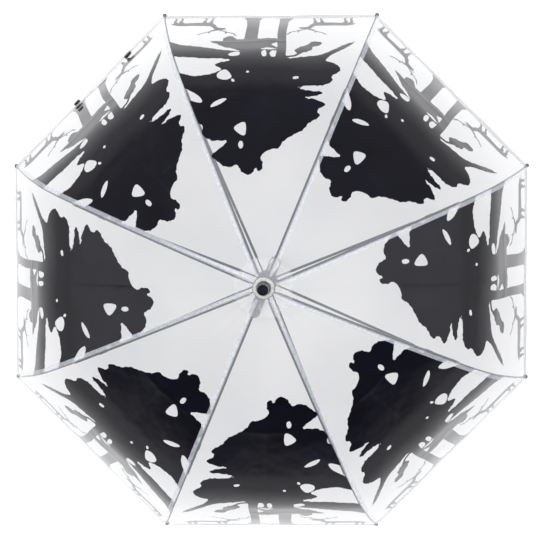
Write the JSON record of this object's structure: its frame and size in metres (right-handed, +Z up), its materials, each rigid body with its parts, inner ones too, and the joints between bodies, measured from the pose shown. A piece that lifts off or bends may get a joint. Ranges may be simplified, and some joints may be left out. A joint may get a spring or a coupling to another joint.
{
  "type": "dome umbrella",
  "caption": "Open transparent dome umbrella with a printed tree silhouette, folding metal ribs and stretchers, sliding runner, closure strap and a hooked handle.",
  "frame": {"origin": "on the shaft's axis at the middle of the handle's straight grip", "axes": "+Z up the shaft from the grip to the ferrule, the hook bends towards the rib at 22.5 degrees from -X to -Y, and Y completes the right-handed frame; flat sides of the open canopy face +X, -X, +Y and -Y"},
  "size_m": [0.7548, 0.7548, 0.7955],
  "materials": {
    "steel_tube": "gloss",
    "rib_steel": "satin",
    "wire_steel": "satin",
    "black_plastic": "gloss",
    "grey_plastic": "satin",
    "collar_metal": "polished",
    "clear_washer": "gloss",
    "clear_film": "gloss",
    "print_ink": "matte"
  },
  "bodies": {
    "shaft": {"shaft_tube": "steel_tube", "handle": "black_plastic", "handle_collar": "collar_metal", "crown": "grey_plastic", "crown_wire": "wire_steel", "ferrule_cap": "black_plastic", "ferrule_nub": "collar_metal", "top_washer": "clear_washer", "reinforcing_disc": "clear_film", "canopy_panel_1": "clear_film", "canopy_panel_2": "clear_film", "canopy_panel_3": "clear_film", "canopy_panel_4": "clear_film", "canopy_panel_5": "clear_film", "canopy_panel_6": "clear_film", "canopy_panel_7": "clear_film", "canopy_panel_8": "clear_film", "closure_strap": "clear_film", "strap_snaps": "black_plastic", "snap_stud": "black_plastic"},
    "runner": {"runner": "grey_plastic"},
    "rib_1": {"rib_channel_1": "rib_steel"},
    "rib_outer_1": {"rib_wire_1": "wire_steel", "rib_tip_1": "black_plastic"},
    "stretcher_1": {"stretcher_1": "rib_steel"},
    "rib_2": {"rib_channel_2": "rib_steel"},
    "rib_outer_2": {"rib_wire_2": "wire_steel", "rib_tip_2": "black_plastic"},
    "stretcher_2": {"stretcher_2": "rib_steel"},
    "rib_3": {"rib_channel_3": "rib_steel"},
    "rib_outer_3": {"rib_wire_3": "wire_steel", "rib_tip_3": "black_plastic"},
    "stretcher_3": {"stretcher_3": "rib_steel"},
    "rib_4": {"rib_channel_4": "rib_steel"},
    "rib_outer_4": {"rib_wire_4": "wire_steel", "rib_tip_4": "black_plastic"},
    "stretcher_4": {"stretcher_4": "rib_steel"},
    "rib_5": {"rib_channel_5": "rib_steel"},
    "rib_outer_5": {"rib_wire_5": "wire_steel", "rib_tip_5": "black_plastic"},
    "stretcher_5": {"stretcher_5": "rib_steel"},
    "rib_6": {"rib_channel_6": "rib_steel"},
    "rib_outer_6": {"rib_wire_6": "wire_steel", "rib_tip_6": "black_plastic"},
    "stretcher_6": {"stretcher_6": "rib_steel"},
    "rib_7": {"rib_channel_7": "rib_steel"},
    "rib_outer_7": {"rib_wire_7": "wire_steel", "rib_tip_7": "black_plastic"},
    "stretcher_7": {"stretcher_7": "rib_steel"},
    "rib_8": {"rib_channel_8": "rib_steel"},
    "rib_outer_8": {"rib_wire_8": "wire_steel", "rib_tip_8": "black_plastic"},
    "stretcher_8": {"stretcher_8": "rib_steel"},
    "top_catch": {"top_catch": "wire_steel"},
    "bottom_catch": {"bottom_catch": "wire_steel"}
  },
  "joints": [
    {"name": "runner_slide", "type": "slide", "parent": "shaft", "child": "runner", "axis": [0, 0, -1], "range_m": [0, 0.30614], "deforming": ["canopy_panel_1", "canopy_panel_2", "canopy_panel_3", "canopy_panel_4", "canopy_panel_5", "canopy_panel_6", "canopy_panel_7", "canopy_panel_8", "closure_strap"]},
    {"name": "rib_fold_1", "type": "hinge", "parent": "shaft", "child": "rib_1", "pos_m": [0.01109, 0.00459, 0.645], "axis": [-0.3827, 0.9239, 0], "range_deg": [0, 65]},
    {"name": "rib_flex_1", "type": "hinge", "parent": "rib_1", "child": "rib_outer_1", "pos_m": [0.25082, 0.10389, 0.55176], "axis": [0.3827, -0.9239, 0], "range_deg": [0, 40.1]},
    {"name": "stretcher_turn_1", "type": "hinge", "parent": "rib_1", "child": "stretcher_1", "pos_m": [0.21006, 0.08701, 0.57206], "axis": [0.3827, -0.9239, 0], "range_deg": [0, 130]},
    {"name": "rib_fold_2", "type": "hinge", "parent": "shaft", "child": "rib_2", "pos_m": [0.00459, 0.01109, 0.645], "axis": [-0.9239, 0.3827, 0], "range_deg": [0, 65]},
    {"name": "rib_flex_2", "type": "hinge", "parent": "rib_2", "child": "rib_outer_2", "pos_m": [0.10389, 0.25082, 0.55176], "axis": [0.9239, -0.3827, 0], "range_deg": [0, 40.1]},
    {"name": "stretcher_turn_2", "type": "hinge", "parent": "rib_2", "child": "stretcher_2", "pos_m": [0.08701, 0.21006, 0.57206], "axis": [0.9239, -0.3827, 0], "range_deg": [0, 130]},
    {"name": "rib_fold_3", "type": "hinge", "parent": "shaft", "child": "rib_3", "pos_m": [-0.00459, 0.01109, 0.645], "axis": [-0.9239, -0.3827, 0], "range_deg": [0, 65]},
    {"name": "rib_flex_3", "type": "hinge", "parent": "rib_3", "child": "rib_outer_3", "pos_m": [-0.10389, 0.25082, 0.55176], "axis": [0.9239, 0.3827, 0], "range_deg": [0, 40.1]},
    {"name": "stretcher_turn_3", "type": "hinge", "parent": "rib_3", "child": "stretcher_3", "pos_m": [-0.08701, 0.21006, 0.57206], "axis": [0.9239, 0.3827, 0], "range_deg": [0, 130]},
    {"name": "rib_fold_4", "type": "hinge", "parent": "shaft", "child": "rib_4", "pos_m": [-0.01109, 0.00459, 0.645], "axis": [-0.3827, -0.9239, 0], "range_deg": [0, 65]},
    {"name": "rib_flex_4", "type": "hinge", "parent": "rib_4", "child": "rib_outer_4", "pos_m": [-0.25082, 0.10389, 0.55176], "axis": [0.3827, 0.9239, 0], "range_deg": [0, 40.1]},
    {"name": "stretcher_turn_4", "type": "hinge", "parent": "rib_4", "child": "stretcher_4", "pos_m": [-0.21006, 0.08701, 0.57206], "axis": [0.3827, 0.9239, 0], "range_deg": [0, 130]},
    {"name": "rib_fold_5", "type": "hinge", "parent": "shaft", "child": "rib_5", "pos_m": [-0.01109, -0.00459, 0.645], "axis": [0.3827, -0.9239, 0], "range_deg": [0, 65]},
    {"name": "rib_flex_5", "type": "hinge", "parent": "rib_5", "child": "rib_outer_5", "pos_m": [-0.25082, -0.10389, 0.55176], "axis": [-0.3827, 0.9239, 0], "range_deg": [0, 40.1]},
    {"name": "stretcher_turn_5", "type": "hinge", "parent": "rib_5", "child": "stretcher_5", "pos_m": [-0.21006, -0.08701, 0.57206], "axis": [-0.3827, 0.9239, 0], "range_deg": [0, 130]},
    {"name": "rib_fold_6", "type": "hinge", "parent": "shaft", "child": "rib_6", "pos_m": [-0.00459, -0.01109, 0.645], "axis": [0.9239, -0.3827, 0], "range_deg": [0, 65]},
    {"name": "rib_flex_6", "type": "hinge", "parent": "rib_6", "child": "rib_outer_6", "pos_m": [-0.10389, -0.25082, 0.55176], "axis": [-0.9239, 0.3827, 0], "range_deg": [0, 40.1]},
    {"name": "stretcher_turn_6", "type": "hinge", "parent": "rib_6", "child": "stretcher_6", "pos_m": [-0.08701, -0.21006, 0.57206], "axis": [-0.9239, 0.3827, 0], "range_deg": [0, 130]},
    {"name": "rib_fold_7", "type": "hinge", "parent": "shaft", "child": "rib_7", "pos_m": [0.00459, -0.01109, 0.645], "axis": [0.9239, 0.3827, 0], "range_deg": [0, 65]},
    {"name": "rib_flex_7", "type": "hinge", "parent": "rib_7", "child": "rib_outer_7", "pos_m": [0.10389, -0.25082, 0.55176], "axis": [-0.9239, -0.3827, 0], "range_deg": [0, 40.1]},
    {"name": "stretcher_turn_7", "type": "hinge", "parent": "rib_7", "child": "stretcher_7", "pos_m": [0.08701, -0.21006, 0.57206], "axis": [-0.9239, -0.3827, 0], "range_deg": [0, 130]},
    {"name": "rib_fold_8", "type": "hinge", "parent": "shaft", "child": "rib_8", "pos_m": [0.01109, -0.00459, 0.645], "axis": [0.3827, 0.9239, 0], "range_deg": [0, 65]},
    {"name": "rib_flex_8", "type": "hinge", "parent": "rib_8", "child": "rib_outer_8", "pos_m": [0.25082, -0.10389, 0.55176], "axis": [-0.3827, -0.9239, 0], "range_deg": [0, 40.1]},
    {"name": "stretcher_turn_8", "type": "hinge", "parent": "rib_8", "child": "stretcher_8", "pos_m": [0.21006, -0.08701, 0.57206], "axis": [-0.3827, -0.9239, 0], "range_deg": [0, 130]},
    {"name": "top_catch_press", "type": "slide", "parent": "shaft", "child": "top_catch", "axis": [0, -1, 0], "range_m": [0, 0.0022], "stiffness_N_per_m": 300},
    {"name": "bottom_catch_press", "type": "slide", "parent": "shaft", "child": "bottom_catch", "axis": [0, -1, 0], "range_m": [0, 0.0022], "stiffness_N_per_m": 300}
  ],
  "couplings": [
    {"joint": "rib_fold_1", "follows": "runner_slide", "rad_per_m": 3.7057},
    {"joint": "rib_flex_1", "follows": "runner_slide", "rad_per_m": 2.2861},
    {"joint": "stretcher_turn_1", "follows": "runner_slide", "rad_per_m": 7.4113},
    {"joint": "rib_fold_2", "follows": "runner_slide", "rad_per_m": 3.7057},
    {"joint": "rib_flex_2", "follows": "runner_slide", "rad_per_m": 2.2861},
    {"joint": "stretcher_turn_2", "follows": "runner_slide", "rad_per_m": 7.4113},
    {"joint": "rib_fold_3", "follows": "runner_slide", "rad_per_m": 3.7057},
    {"joint": "rib_flex_3", "follows": "runner_slide", "rad_per_m": 2.2861},
    {"joint": "stretcher_turn_3", "follows": "runner_slide", "rad_per_m": 7.4113},
    {"joint": "rib_fold_4", "follows": "runner_slide", "rad_per_m": 3.7057},
    {"joint": "rib_flex_4", "follows": "runner_slide", "rad_per_m": 2.2861},
    {"joint": "stretcher_turn_4", "follows": "runner_slide", "rad_per_m": 7.4113},
    {"joint": "rib_fold_5", "follows": "runner_slide", "rad_per_m": 3.7057},
    {"joint": "rib_flex_5", "follows": "runner_slide", "rad_per_m": 2.2861},
    {"joint": "stretcher_turn_5", "follows": "runner_slide", "rad_per_m": 7.4113},
    {"joint": "rib_fold_6", "follows": "runner_slide", "rad_per_m": 3.7057},
    {"joint": "rib_flex_6", "follows": "runner_slide", "rad_per_m": 2.2861},
    {"joint": "stretcher_turn_6", "follows": "runner_slide", "rad_per_m": 7.4113},
    {"joint": "rib_fold_7", "follows": "runner_slide", "rad_per_m": 3.7057},
    {"joint": "rib_flex_7", "follows": "runner_slide", "rad_per_m": 2.2861},
    {"joint": "stretcher_turn_7", "follows": "runner_slide", "rad_per_m": 7.4113},
    {"joint": "rib_fold_8", "follows": "runner_slide", "rad_per_m": 3.7057},
    {"joint": "rib_flex_8", "follows": "runner_slide", "rad_per_m": 2.2861},
    {"joint": "stretcher_turn_8", "follows": "runner_slide", "rad_per_m": 7.4113}
  ]
}
